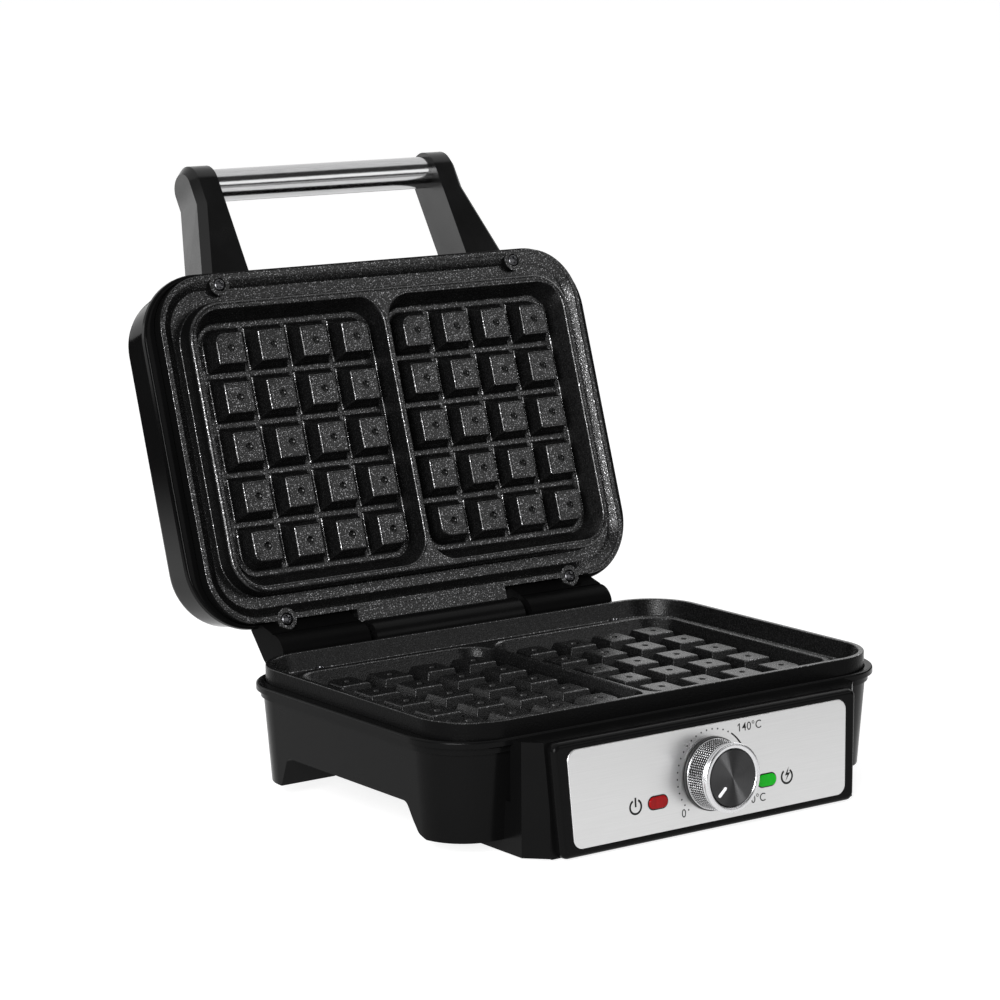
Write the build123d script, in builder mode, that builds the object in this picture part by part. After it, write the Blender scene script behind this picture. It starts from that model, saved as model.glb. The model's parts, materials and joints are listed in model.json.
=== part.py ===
from build123d import *
import os
from math import atan, cos, degrees, radians, sin, tan

os.makedirs("parts", exist_ok=True)

# Stance, in millimetres, Z up, table at Z 0, hinge at the back (+Y)
rim_z = 63.4          # rim of the lower plate above the table
leg_z = 7.0           # underside of the legs
rim_gap = 0.5         # air between the two plate rims when shut
open_angle = 107.9    # lid travel from shut to the rest pose
wall = 2.5            # moulded walls
hole_gap = 0.15       # clearance round screws, lenses and inlays
fit = 0.05            # running fit, radial

# Baking plates
pitch = 25.0          # one waffle pocket to the next
cols = 4
rows = 5
grid_shift = 0.6      # pocket fields sit this far towards the hinge
block_top = 15.5
block_h = 9.0
block_side = 3.0      # run-out of each block side
corner_r = 8.0        # foot of the rounded corner blocks
well_out = 5.5        # lean of the outer well walls
well_in = 3.0         # lean of the wall at the divider
divider_t = 3.1       # flat top of the divider between the wells
ridge_t = 4.3         # flat top of the ridge round the wells
ridge_lean = 3.0
ridge_round = 2.0     # outer shoulder of the ridge
channel_x = 8.75      # channel between ridge and rim, at the sides
channel_y = 11.05     # and at the front and back
rim_t = 2.6           # raised rim round each plate
rim_lean_low = 20.0   # inner slope of the rim, lower and upper plate
rim_lean_up = 54.0
plate_r = 28.0
pan_t = 4.0           # metal under the valleys
pan_wall = 3.8        # and round the foot of the wells
pan_gap = 1.0         # pan clear of the opening in its deck
web = 2.5             # metal under the channel of the upper plate
screw_side = 38.2     # plate screws, from the sides of the plate
screw_up_in = 5.3     # from the front edge of the upper plate
screw_low_in = 9.7    # from the front and back of the lower plate
lobe_side = 41.2      # screw ears on the hinge edge of the upper plate
lobe_in = 0.2
lobe_r = 5.6
lobe_wall = 0.8       # lid material round the screw ears
tongue_gap = 4.0      # tongue to the hinge ears
tongue_out = 6.4
tongue_low = 0.7      # face of the tongue below the rim
screw_r = 2.0
screw_low_l = 14.0
screw_up_l = 18.0
head_r = 3.1
head_h = 1.6
head_round = 0.9
head_sunk = 1.3       # heads sit in pads on the upper plate
channel_low = -8.7    # lower plate levels, from its rim
ridge_low = -6.5
crown_low = -8.7
seat_low = -12.0
channel_up = -3.4     # upper plate levels, from its rim
ridge_up = 6.3
crown_up = 4.3
seat_up = -8.6

# Heating elements and the trays behind them
rod_r = 3.25
rod_sunk = 1.5        # bedded into the back of the plate
loop_in_x = 22.0      # loop inside the tray
loop_in_y = 24.0
lead_x = 15.0
lead_in = 2.0         # ends of the element inside the tray
loop_r = 14.0
tray_in_x = 7.0       # tray inside the opening in the deck
tray_in_y = 3.0
tray_r = 12.0
sheet = 0.8

# Shells
lip_over_x = 6.4      # lid lip beyond the plate, at the sides
lip_over_y = 2.0      # both lips, at the front and back
base_over_x = 5.6     # base lip beyond the plate, at the sides
lip_r = 31.0          # corners of the base lip and the lid lip
lid_lip_r = 34.0
lip_t = 3.3
lip_round = 1.2
base_lip = -7.8       # top of the base lip below the rim
lid_lip = -5.7        # face of the lid lip behind its rim
seat_gap = 0.5        # plate edge to lip
deck_t = 2.5
open_r = 13.0         # corners of the opening for the plate back
step_in = 2.2         # base flange under the lip
body_in = 3.7         # base body inside the lip
body_r = 27.0
body_draft = 4.6
lid_in = 1.1          # lid wall inside the lip
lid_r = 33.0
lid_draft = 9.0
lid_deep = 38.0
lid_round = 9.0
boss_r = 4.5
pilot = 12.0          # screw holes in the bosses
lid_boss = 8.0
arch_drop = 41.0      # top of the side arches below the rim
arch_r = 4.0
leg_front = 37.0      # legs, from the front and back of the body
leg_back = 36.0
leg_w = 34.0          # and from its sides
toe = 4.0             # stepped curve of the front legs at the arch
toe_h = 2.0
boss_in = 7.0         # bosses for the bottom cover, from its sides
boss_y = 25.0
cover_drop = 38.0     # inside of the bottom cover below the rim
cover_t = 2.0
post_x = 60.0         # rear feet on posts of the cover
post_in = 9.0
post_r = 6.0
tip_h = 3.5
pad_side = 10.0       # front feet, from the sides of the control box
pad_in = 21.7         # and from the panel
pad_r = 7.0
pad_h = 1.15          # control box above the table
peg_r = 2.5
peg_h = 6.0
gland_x = 64.0
gland_drop = 13.9     # below the deck
gland_r = 5.5
gland_rim = 2.5
gland_in = 4.0
gland_out = 3.0
bore_r = 3.2

# Control box and panel
panel_out = 20.0      # middle of the panel ahead of the base lip
panel_lean = 3.5
panel_h = 53.4
panel_top = 90.5
panel_low = 87.0
bezel_t = 5.0
bezel_r = 4.0
bezel_round = 2.6
box_front = 90.0      # half width of the box at the panel
box_side = 99.0       # half width behind the flare
flare_l = 13.7        # panel to the end of the flare
box_deep = 64.7       # panel to the back of the box
sheet_top = 83.3
sheet_low = 80.8
sheet_h = 45.7
sheet_r = 5.0
sheet_t = 1.0
sheet_out = 0.4       # steel stands proud of its frame
lens_w = 10.8
lens_h = 5.6
lens_x = 32.5
lens_y = -8.2
lens_out = 0.8
lens_round = 0.5
lens_flange = 1.5
lamp_r = 2.4
lamp_l = 13.0
knob_y = -0.4
knob_h = 14.5
knob_gap = 0.6
knob_base = 17.2      # thin flange of the core
knob_base_t = 0.8
knob_back = 16.6      # sleeve at the flange and behind the ring
knob_mid = 16.0
ring_r = 16.3
ring_t = 2.0
ring_round = 0.8
cap_r = 13.2
cap_t = 1.2
cap_in = 0.4
hub_r = 7.0           # hollow over the bush
hub_h = 3.0
pointer_w = 1.6
pointer_l = 6.0
pointer_at = 8.65
pointer_out = 0.2
pointer_angle = 221.2
shaft_r = 3.0
shaft_in = 12.0
shaft_out = 12.0
shaft_gap = 0.3       # blind end of the shaft bore
bush_r = 4.6
bush_out = 1.6
stat_w = 34.0
stat_h = 28.0
stat_r = 3.0
stat_deep = 18.0
term_x = 52.0         # terminal block on the floor of the box
term_in = 41.7
term_w = 36.0
term_d = 16.0
term_h = 13.0
term_pitch = 9.0
term_slot = 6.0
term_cut = 7.0
cut_x = -40.0         # thermal cut-out under the lower tray
cut_r = 8.0
cut_t = 1.0
can_r = 6.5
can_h = 6.0

# Hinge and handle
hinge_out = 13.9      # hinge axis behind the lips
hinge_drop = 3.4
pin_r = 2.5
pin_cap = 2.0         # blind end of the bores for the rod
pin_gap = 1.0         # rod end to the blind end of its bore
barrel_gap = 4.0      # barrel of the base to the hinge ears
barrel_r = 9.3
barrel_drop = 22.0    # foot of its web below the deck
ear_over = 14.0       # hinge ears beyond the screw ears of the plate
ear_w = 52.0
ear_r = 9.5
ear_deep = 13.0       # ears reach this far back over the lid wall
heel_gap = 0.4        # heel to base lip with the lid fully open
tube_r = 8.4
tube_t = 1.5
tube_up = 50.0        # tube axis above the lid lip
tube_h = -32.5        # and behind the rim
tube_in = 2.5         # length of tube held in each arm
arm_r = 11.8
arm_drop = 1.3        # round end below the tube axis
arm_lean = 14.0
arm_in = 67.5         # inner side of the arms
arm_out = 82.3        # outer side at the round end
arm_kink = 10.2       # below the centre of the round end the outer side flares
arm_flare = 15.3
arm_edge = 3.7
arm_root = 4.0        # arms start this far inside the lid lip
arm_seat_in = 11.7    # bosses inside the lid that take the arm screws
arm_boss = 6.5
arm_screw = 24.0
arm_screw_x = 79.5
arm_screw_near = 14.5 # arm screws behind the rim
arm_screw_far = 25.0

# Sizes that follow: pockets, wells, plate, shells, hinge and handle
valley = pitch - block_top - 2 * block_side
field_w = cols * pitch - valley
field_d = rows * pitch - valley
block_foot = block_top + 2 * block_side
block_lean = degrees(atan(block_side / block_h))
grid_x = (field_w + divider_t) / 2 + valley + well_in
ridge_x = grid_x + field_w / 2 + valley + well_out + ridge_t
ridge_y = field_d / 2 + valley + well_out + ridge_t
plate_w = 2 * (ridge_x + channel_x + rim_t)
plate_d = 2 * (ridge_y + channel_y + rim_t)
pan_w = 2 * grid_x + field_w + 2 * (valley + pan_wall)
pan_d = field_d + 2 * (valley + pan_wall)
open_w = pan_w + 2 * pan_gap
open_d = pan_d + 2 * pan_gap
tray_w = open_w - 2 * tray_in_x
tray_d = open_d - 2 * tray_in_y
loop_x = tray_w / 2 - loop_in_x
loop_y = tray_d / 2 - loop_in_y
lead_y = tray_d / 2 - lead_in
lip_w = plate_w + 2 * lip_over_x
base_w = plate_w + 2 * base_over_x
lip_d = plate_d + 2 * lip_over_y
screw_x = plate_w / 2 - screw_side
lobe_x = plate_w / 2 - lobe_side
ear_out = lobe_x + ear_over
ear_in = ear_out - ear_w
barrel_x = ear_in - barrel_gap
pin_end = ear_out - pin_cap
tongue_w = 2 * (ear_in - tongue_gap)
hinge_y = lip_d / 2 + hinge_out
tube_v = lip_d / 2 + tube_up
panel_y = -lip_d / 2 - panel_out
flare_y = panel_y + flare_l
box_back = panel_y + box_deep

# Planes: lower rim, control panel, and the rim of the opened lid
hinge_z = rim_z - hinge_drop
lean = radians(open_angle - 90)
up_y = sin(lean)
up_z = cos(lean)
lid_off = hinge_drop + rim_gap
lid_y = hinge_y + up_y * hinge_y + up_z * lid_off
lid_z = hinge_z + up_z * hinge_y - up_y * lid_off
base = Plane.XY.offset(rim_z)
lid = Plane(origin=(0, lid_y, lid_z), x_dir=(1, 0, 0), z_dir=(0, -up_z, up_y))
tilt = radians(panel_lean)
panel_z = pad_h + panel_h / 2 * cos(tilt)
panel = Plane(origin=(0, panel_y, panel_z), x_dir=(1, 0, 0), z_dir=(0, -cos(tilt), sin(tilt)))
side = Plane.YZ
lid_side = Plane(origin=(0, lid_y, lid_z), x_dir=(0, up_y, up_z), z_dir=(1, 0, 0))
corners = [(sx, sy) for sx in (-1, 1) for sy in (-1, 1)]
arm_seat_v = lip_d / 2 - arm_seat_in
arm_seat = Plane(
    origin=(0, lid_y + arm_seat_v * up_y, lid_z + arm_seat_v * up_z), x_dir=(1, 0, 0), z_dir=(0, up_y, up_z)
)
arm_screws = [(sx * arm_screw_x, h) for sx in (-1, 1) for h in (arm_screw_near, arm_screw_far)]
base_screws = [(sx * screw_x, sy * (plate_d / 2 - screw_low_in)) for sx, sy in corners]
front_screws = [(sx * screw_x, plate_d / 2 - screw_up_in) for sx in (-1, 1)]
lobe_screws = [(sx * lobe_x, lobe_in - plate_d / 2) for sx in (-1, 1)]
lid_screws = front_screws + lobe_screws


def heater(face, back, front):
    """Bent tube bedded in the back of a plate, its two ends side by side."""
    mid = face.offset(back - rod_r + rod_sunk)
    with BuildPart() as rod:
        with BuildLine(mid) as path:
            FilletPolyline(
                (-lead_x, front * lead_y),
                (-lead_x, front * loop_y),
                (-loop_x, front * loop_y),
                (-loop_x, -front * loop_y),
                (loop_x, -front * loop_y),
                (loop_x, front * loop_y),
                (lead_x, front * loop_y),
                (lead_x, front * lead_y),
                radius=loop_r,
            )
        with BuildSketch(Plane(origin=path.line @ 0, z_dir=path.line % 0)):
            Circle(rod_r)
        sweep()
    return rod


def tray(face, back):
    """Bright sheet tray behind a heating element, its rim on the plate back."""
    deep = 2 * rod_r - rod_sunk
    with BuildPart() as pan:
        with BuildSketch(face.offset(back)):
            RectangleRounded(tray_w, tray_d, tray_r)
        extrude(amount=-deep - sheet)
        with BuildSketch(face.offset(back)):
            RectangleRounded(tray_w - 2 * sheet, tray_d - 2 * sheet, tray_r - sheet)
        extrude(amount=-deep, mode=Mode.SUBTRACT)
    return pan


def screws(face, top, depth, points):
    """Pan-head screws standing on one face."""
    with BuildPart() as group:
        with BuildSketch(face.offset(top)):
            with Locations(*points):
                Circle(screw_r)
        extrude(amount=-depth)
        with BuildSketch(face.offset(top)):
            with Locations(*points):
                Circle(head_r)
        extrude(amount=head_h)
        crowns = group.faces().group_by(Axis(face.origin, face.z_dir))[-1]
        fillet(crowns.edges(), head_round)
    return group


def baking_plate(face, hinge, rim_lean, channel, ridge, crown, seat, points, ears, pad, rod):
    """Cast plate: raised rim, channel, ridge, two wells with pocket blocks."""
    floor = crown - block_h
    with BuildPart() as bank:
        with BuildSketch(face.offset(channel)):
            with Locations((0, hinge * grid_shift)):
                RectangleRounded(2 * ridge_x, 2 * ridge_y, corner_r + valley + well_out + ridge_t)
        extrude(amount=ridge - channel, taper=ridge_lean)
        shoulder = bank.edges().group_by(Axis(face.origin, face.z_dir))[-1]
        fillet(shoulder, min(ridge_round, (ridge - channel) / 2))
    with BuildPart() as plate:
        with BuildSketch(face.offset(seat)):
            RectangleRounded(plate_w, plate_d, plate_r)
        extrude(amount=-seat)
        with BuildSketch(face):
            RectangleRounded(plate_w - 2 * rim_t, plate_d - 2 * rim_t, plate_r - rim_t)
        extrude(amount=channel, taper=rim_lean, mode=Mode.SUBTRACT)
        if channel - seat > 2 * web:
            with BuildSketch(face.offset(seat)):
                RectangleRounded(plate_w - 2 * rim_t, plate_d - 2 * rim_t, plate_r - rim_t)
            extrude(amount=channel - web - seat, mode=Mode.SUBTRACT)
        if ears:
            with BuildSketch(face.offset(seat)):
                with Locations((0, hinge * (plate_d + tongue_out) / 2)):
                    Rectangle(tongue_w, tongue_out)
            extrude(amount=-tongue_low - seat)
            with BuildSketch(face.offset(seat)):
                with Locations(*points):
                    Circle(lobe_r)
            extrude(amount=pad + head_sunk - seat)
        with BuildSketch(face.offset(floor - pan_t)):
            RectangleRounded(pan_w, pan_d, open_r - pan_gap)
        extrude(amount=channel - floor + pan_t)
        add(bank.part)
        for sx in (-1, 1):
            with BuildSketch(face.offset(floor)):
                with Locations((sx * grid_x, hinge * grid_shift)):
                    RectangleRounded(field_w + 2 * valley, field_d + 2 * valley, corner_r + valley)
            with BuildSketch(face.offset(ridge)):
                with Locations((sx * (grid_x + (well_out - well_in) / 2), hinge * grid_shift)):
                    RectangleRounded(
                        field_w + 2 * valley + well_out + well_in,
                        field_d + 2 * (valley + well_out),
                        corner_r + valley + well_out / 2,
                    )
            loft(mode=Mode.SUBTRACT)
        for sx in (-1, 1):
            with BuildSketch(face.offset(floor)):
                with Locations((sx * grid_x, hinge * grid_shift)):
                    with GridLocations(pitch, pitch, cols, rows):
                        Rectangle(block_foot, block_foot)
                with Locations((sx * grid_x, hinge * grid_shift)):
                    RectangleRounded(field_w, field_d, corner_r, mode=Mode.INTERSECT)
            extrude(amount=block_h, taper=block_lean)
        with BuildSketch(face.offset(seat)):
            with Locations(*points):
                Circle(screw_r + hole_gap)
        extrude(amount=pad - seat, mode=Mode.SUBTRACT)
        with BuildSketch(face.offset(pad)):
            with Locations(*points):
                Circle(head_r + 2 * hole_gap)
        extrude(amount=2 * head_h, mode=Mode.SUBTRACT)
        add(rod.part, mode=Mode.SUBTRACT)
    return plate


# Lower plate with its heater and tray
pan_low = crown_low - block_h - pan_t
lower_heater = heater(base, pan_low, -1)
lower_tray = tray(base, pan_low)
lower_plate = baking_plate(
    base, 1, rim_lean_low, channel_low, ridge_low, crown_low, seat_low,
    base_screws, False, channel_low, lower_heater,
)
lower_screws = screws(base, channel_low, screw_low_l, base_screws)

# Upper plate with its heater and tray
pan_up = crown_up - block_h - pan_t
upper_heater = heater(lid, pan_up, -1)
upper_tray = tray(lid, pan_up)
upper_plate = baking_plate(
    lid, -1, rim_lean_up, channel_up, ridge_up, crown_up, seat_up,
    lid_screws, True, -head_sunk, upper_heater,
)
upper_screws = screws(lid, -head_sunk, screw_up_l, lid_screws)

# Outer form of the lid, lip and tapered cover
with BuildPart() as lid_form:
    with BuildSketch(lid.offset(lid_lip - lip_t)):
        RectangleRounded(lip_w, lip_d, lid_lip_r)
    extrude(amount=lip_t)
    fillet(lid_form.edges().group_by(Axis(lid.origin, lid.z_dir))[-1], lip_round)
    with BuildSketch(lid.offset(lid_lip - lip_t)):
        RectangleRounded(lip_w - 2 * lid_in, lip_d - 2 * lid_in, lid_r)
    extrude(amount=lid_lip - lip_t + lid_deep, dir=-lid.z_dir, taper=lid_draft)
    fillet(lid_form.edges().group_by(Axis(lid.origin, lid.z_dir))[0], lid_round)
    with BuildSketch(lid.offset(seat_up - deck_t)):
        with Locations(*lobe_screws):
            Circle(lobe_r + lobe_wall)
    extrude(amount=deck_t)

with BuildPart() as lid_housing:
    add(lid_form.part)
    with BuildSketch(lid.offset(seat_up)):
        RectangleRounded(plate_w + 2 * seat_gap, plate_d + 2 * seat_gap, plate_r + seat_gap)
        with Locations(*lobe_screws):
            Circle(lobe_r + seat_gap)
        with Locations((0, -(plate_d + tongue_out) / 2)):
            Rectangle(tongue_w + 2 * seat_gap, tongue_out + 2 * seat_gap)
    extrude(amount=-seat_up, mode=Mode.SUBTRACT)
    with BuildSketch(lid.offset(seat_up)):
        RectangleRounded(open_w, open_d, open_r)
    extrude(amount=-deck_t, mode=Mode.SUBTRACT)
    with BuildSketch(lid.offset(seat_up - deck_t)):
        RectangleRounded(lip_w - 2 * lid_in - 2 * wall, lip_d - 2 * lid_in - 2 * wall, lid_r - wall)
    extrude(amount=lid_deep - wall + seat_up - deck_t, dir=-lid.z_dir, taper=lid_draft, mode=Mode.SUBTRACT)
    with BuildSketch(lid.offset(seat_up - deck_t - lid_boss)):
        with Locations(*front_screws):
            Circle(boss_r)
    extrude(amount=lid_boss)
    with BuildSketch(lid.offset(seat_up - pilot)):
        with Locations(*lid_screws):
            Circle(screw_r)
    extrude(amount=pilot, mode=Mode.SUBTRACT)
    with BuildSketch(arm_seat):
        with Locations(*arm_screws):
            Circle(boss_r)
    extrude(amount=arm_boss)
    with BuildSketch(arm_seat):
        with Locations(*arm_screws):
            Circle(screw_r + hole_gap)
    extrude(amount=2 * arm_boss, mode=Mode.SUBTRACT)

# Handle: two arms trimmed to the lid, steel tube between them
with BuildPart() as handle_screws:
    with BuildSketch(arm_seat):
        with Locations(*arm_screws):
            Circle(screw_r)
    extrude(amount=arm_screw)
    with BuildSketch(arm_seat):
        with Locations(*arm_screws):
            Circle(head_r)
    extrude(amount=-head_h)

arm_v = tube_v - arm_drop
arm_low_v = lip_d / 2 - arm_root
arm_kink_v = arm_v - arm_kink


def arm_part(sx, low_out, end_v, end_out):
    """Side profile of an arm cut to a straight outer side with chamfered edges."""
    with BuildPart() as blank:
        with BuildSketch(lid_side):
            with Locations((arm_v, tube_h)):
                Circle(arm_r)
            with Locations(Location((arm_v, tube_h), -arm_lean)):
                Rectangle(arm_v - arm_low_v + arm_r, 2 * arm_r, align=(Align.MAX, Align.CENTER))
        extrude(amount=sx * lip_w / 2)
        with BuildSketch(lid.offset(arm_r)):
            Polygon(
                (sx * low_out, arm_low_v),
                (sx * arm_in, arm_low_v),
                (sx * arm_in, end_v),
                (sx * end_out, end_v),
                align=None,
            )
        extrude(amount=-lip_d, mode=Mode.INTERSECT)
        outer = blank.faces().sort_by(Axis.X)[-1 if sx > 0 else 0]
        chamfer(outer.edges().filter_by(Axis(lid.origin, lid.z_dir), reverse=True), arm_edge)
    return blank


arm_slope = tan(radians(arm_flare))
arm_foot_out = arm_out + (arm_kink_v - arm_low_v) * arm_slope
stem_out = arm_out - arm_edge * arm_slope
arms = {}
for hand, sx in (("left", -1), ("right", 1)):
    head = arm_part(sx, arm_out, arm_v + 2 * arm_r, arm_out)
    stem = arm_part(sx, arm_foot_out, arm_kink_v + arm_edge, stem_out)
    with BuildPart() as arm:
        add(head.part)
        add(stem.part)
        with BuildSketch(lid_side):
            with Locations((tube_v, tube_h)):
                Circle(tube_r)
        extrude(amount=sx * (arm_in + tube_in), mode=Mode.SUBTRACT)
        add(lid_form.part, mode=Mode.SUBTRACT)
        with BuildSketch(arm_seat):
            with Locations(*arm_screws):
                Circle(screw_r)
        extrude(amount=arm_screw, mode=Mode.SUBTRACT)
    arms[hand] = arm

with BuildPart() as handle_tube:
    with BuildSketch(lid_side.offset(-arm_in - tube_in)):
        with Locations((tube_v, tube_h)):
            Circle(tube_r)
            Circle(tube_r - tube_t, mode=Mode.SUBTRACT)
    extrude(amount=2 * (arm_in + tube_in))

# Hinge ears of the lid, heel against the base lip as the open stop
lid_wall_v = lip_d / 2 - lid_in
heel = hinge_y - lip_d / 2 - heel_gap
heel_top = rim_z + base_lip
ears = {}
for hand, sx in (("left", -1), ("right", 1)):
    with BuildPart() as ear:
        with BuildSketch(side.offset(sx * ear_in)):
            with Locations((hinge_y, hinge_z)):
                Circle(ear_r)
            Polygon(
                (hinge_y - heel, heel_top),
                (hinge_y - heel, heel_top - lip_t),
                (hinge_y, hinge_z - ear_r),
                (hinge_y, hinge_z),
                align=None,
            )
        extrude(amount=sx * (ear_out - ear_in))
        with BuildSketch(lid_side.offset(sx * ear_in)):
            Polygon(
                (-hinge_y - pin_r, lid_off - ear_r),
                (-hinge_y + ear_r, lid_off + pin_r),
                (-lid_wall_v + boss_r, lid_lip - lip_t),
                (-lid_wall_v + boss_r, -ear_deep),
                (-lid_wall_v, -ear_deep),
                align=None,
            )
        extrude(amount=sx * (ear_out - ear_in))
        add(lid_form.part, mode=Mode.SUBTRACT)
        with BuildSketch(lid.offset(seat_up)):
            with Locations(*lobe_screws):
                Circle(lobe_r + seat_gap)
            RectangleRounded(plate_w + 2 * seat_gap, plate_d + 2 * seat_gap, plate_r)
        extrude(amount=lid_deep, mode=Mode.SUBTRACT)
        with BuildSketch(lid.offset(seat_up - pilot)):
            with Locations(*lobe_screws):
                Circle(screw_r)
        extrude(amount=pilot, mode=Mode.SUBTRACT)
        with BuildSketch(side.offset(sx * ear_in)):
            with Locations((hinge_y, hinge_z)):
                Circle(pin_r + fit)
        extrude(amount=sx * (pin_end - ear_in), mode=Mode.SUBTRACT)
    ears[hand] = ear

with BuildPart() as hinge_rod:
    with BuildSketch(side.offset(pin_gap - pin_end)):
        with Locations((hinge_y, hinge_z)):
            Circle(pin_r)
    extrude(amount=2 * (pin_end - pin_gap))


def panel_shape(top, low, height):
    """Corners of the panel outline, a little wider at the top."""
    return [(-low, -height / 2), (low, -height / 2), (top, height / 2), (-top, height / 2)]


def box_plan(front, behind, back):
    """Plan of the control box: narrow at the panel, flared, then straight."""
    ahead = 2 * panel_y
    return [(-front, ahead), (front, ahead), (front, flare_y - behind + front), (behind, flare_y),
            (behind, back), (-behind, back), (-behind, flare_y), (-front, flare_y - behind + front)]


# Deep box behind the panel, open to the front and, under the base, above
box_top = pad_h + panel_h * cos(tilt)
cover_z = rim_z - cover_drop
with BuildPart() as tub:
    with BuildSketch(Plane.XY.offset(pad_h)):
        Polygon(*box_plan(box_front, box_side, box_back), align=None)
    extrude(amount=box_top - pad_h)
    with BuildSketch(Plane.XY.offset(pad_h + wall)):
        Polygon(*box_plan(box_front - 2 * wall, box_side - wall, box_back - wall), align=None)
    extrude(amount=box_top - pad_h - 2 * wall, mode=Mode.SUBTRACT)
    with BuildSketch(panel.offset(-bezel_t)):
        Rectangle(3 * box_side, 2 * panel_h)
    extrude(amount=-2 * panel_y, mode=Mode.SUBTRACT)
    with BuildSketch(Plane.XY.offset(cover_z)):
        with Locations((0, -plate_d / 2)):
            Rectangle(3 * box_side, lip_d, align=(Align.CENTER, Align.MIN))
    extrude(amount=rim_z, mode=Mode.SUBTRACT)

# Base: tapered body on four legs, deck and lip that carry the lower plate
flange_z = rim_z + base_lip - lip_t
deck_z = rim_z + seat_low - deck_t
arch_z = rim_z - arch_drop
under_z = cover_z - cover_t
body_w = base_w - 2 * body_in
body_d = lip_d - 2 * body_in
slope = radians(body_draft)
arch_front = leg_front - body_d / 2
arch_back = body_d / 2 - leg_back
leg_in = body_w / 2 - leg_w
low_d = body_d - 2 * (wall + (deck_z - leg_z) * tan(slope))
cover_in = wall + (deck_z - under_z) * tan(slope) + seat_gap
cover_w = body_w - 2 * cover_in
cover_d = body_d - 2 * cover_in
gland_z = deck_z - gland_drop
gland_y = body_d / 2 - gland_drop * tan(slope)
back_wall = Plane(origin=(gland_x, gland_y, gland_z), x_dir=(-1, 0, 0), z_dir=(0, cos(slope), -sin(slope)))
bosses = [(sx * (cover_w / 2 - boss_in), sy * boss_y) for sx, sy in corners]
pads = [(sx * (box_front - pad_side), panel_y + pad_in) for sx in (-1, 1)]
with BuildPart() as base_housing:
    with BuildSketch(Plane.XY.offset(deck_z)):
        RectangleRounded(body_w, body_d, body_r)
    extrude(amount=deck_z - leg_z, dir=(0, 0, -1), taper=body_draft)
    with BuildSketch(Plane.XY.offset(deck_z)):
        RectangleRounded(body_w - 2 * wall, body_d - 2 * wall, body_r - wall)
    extrude(amount=deck_z - under_z, dir=(0, 0, -1), taper=body_draft, mode=Mode.SUBTRACT)
    with BuildSketch(Plane.XY.offset(leg_z)):
        Rectangle(2 * leg_in, low_d)
        with Locations((0, arch_front)):
            Rectangle(cover_w + 2 * seat_gap, arch_back - arch_front, align=(Align.CENTER, Align.MIN))
    extrude(amount=under_z - leg_z, mode=Mode.SUBTRACT)
    with BuildSketch(side):
        Polygon(
            (arch_front - 4 * toe, leg_z - toe_h / 2),
            (arch_front - 2 * toe, leg_z + toe_h),
            (arch_front - toe, leg_z + 4 * toe_h),
            (arch_front, arch_z),
            (arch_back, arch_z),
            (arch_back + 2 * toe, leg_z - toe_h / 2),
            align=None,
        )
        fillet(vertices().sort_by(Axis.Y)[-2:], arch_r)
        fillet(vertices().sort_by(Axis.X)[1:3], arch_r)
    extrude(amount=lip_w, both=True, mode=Mode.SUBTRACT)
    with BuildSketch(Plane.XY.offset(deck_z)):
        RectangleRounded(base_w - 2 * step_in, lip_d - 2 * step_in, lip_r - step_in)
        RectangleRounded(open_w, open_d, open_r, mode=Mode.SUBTRACT)
    extrude(amount=flange_z - deck_z)
    with BuildSketch(Plane.XY.offset(flange_z)):
        RectangleRounded(base_w, lip_d, lip_r)
    extrude(amount=lip_t)
    fillet(base_housing.edges().group_by(Axis.Z)[-1], lip_round)
    with BuildSketch(Plane.XY.offset(pad_h + wall)):
        with Locations((0, -body_d / 2)):
            Rectangle(2 * (panel_low - wall), 4 * wall)
    extrude(amount=deck_z - pad_h - 2 * wall, mode=Mode.SUBTRACT)
    add(tub.part)
    with BuildSketch(Plane.XY.offset(rim_z + seat_low)):
        RectangleRounded(plate_w + 2 * seat_gap, plate_d + 2 * seat_gap, plate_r + seat_gap)
    extrude(amount=-seat_low, mode=Mode.SUBTRACT)
    with BuildSketch(Plane.XY.offset(cover_z)):
        with Locations(*bosses):
            Circle(boss_r)
    extrude(amount=deck_z - cover_z)
    with BuildSketch(Plane.XY.offset(cover_z)):
        with Locations(*bosses):
            Circle(screw_r)
    extrude(amount=pilot, mode=Mode.SUBTRACT)
    with BuildSketch(Plane.XY.offset(deck_z - pilot)):
        with Locations(*base_screws):
            Circle(boss_r)
    extrude(amount=pilot)
    with BuildSketch(Plane.XY.offset(deck_z - pilot)):
        with Locations(*base_screws):
            Circle(screw_r)
    extrude(amount=pilot + deck_t, mode=Mode.SUBTRACT)
    with BuildSketch(Plane.XY.offset(pad_h)):
        with Locations(*pads):
            Circle(peg_r)
    extrude(amount=wall, mode=Mode.SUBTRACT)
    with BuildSketch(side.offset(-barrel_x)):
        with Locations((hinge_y, hinge_z)):
            Circle(barrel_r)
        Polygon(
            (hinge_y - barrel_r, hinge_z - pin_r),
            (lip_d / 2 + seat_gap, deck_z),
            (body_d / 2 - seat_gap, deck_z),
            (body_d / 2 - wall, deck_z - barrel_drop),
            (hinge_y + barrel_r, hinge_z),
            align=None,
        )
    extrude(amount=2 * barrel_x)
    with BuildSketch(side.offset(-barrel_x)):
        with Locations((hinge_y, hinge_z)):
            Circle(pin_r)
    extrude(amount=2 * barrel_x, mode=Mode.SUBTRACT)
    with BuildSketch(back_wall.offset(-2 * wall)):
        Circle(gland_r)
    extrude(amount=4 * wall, mode=Mode.SUBTRACT)

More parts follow.
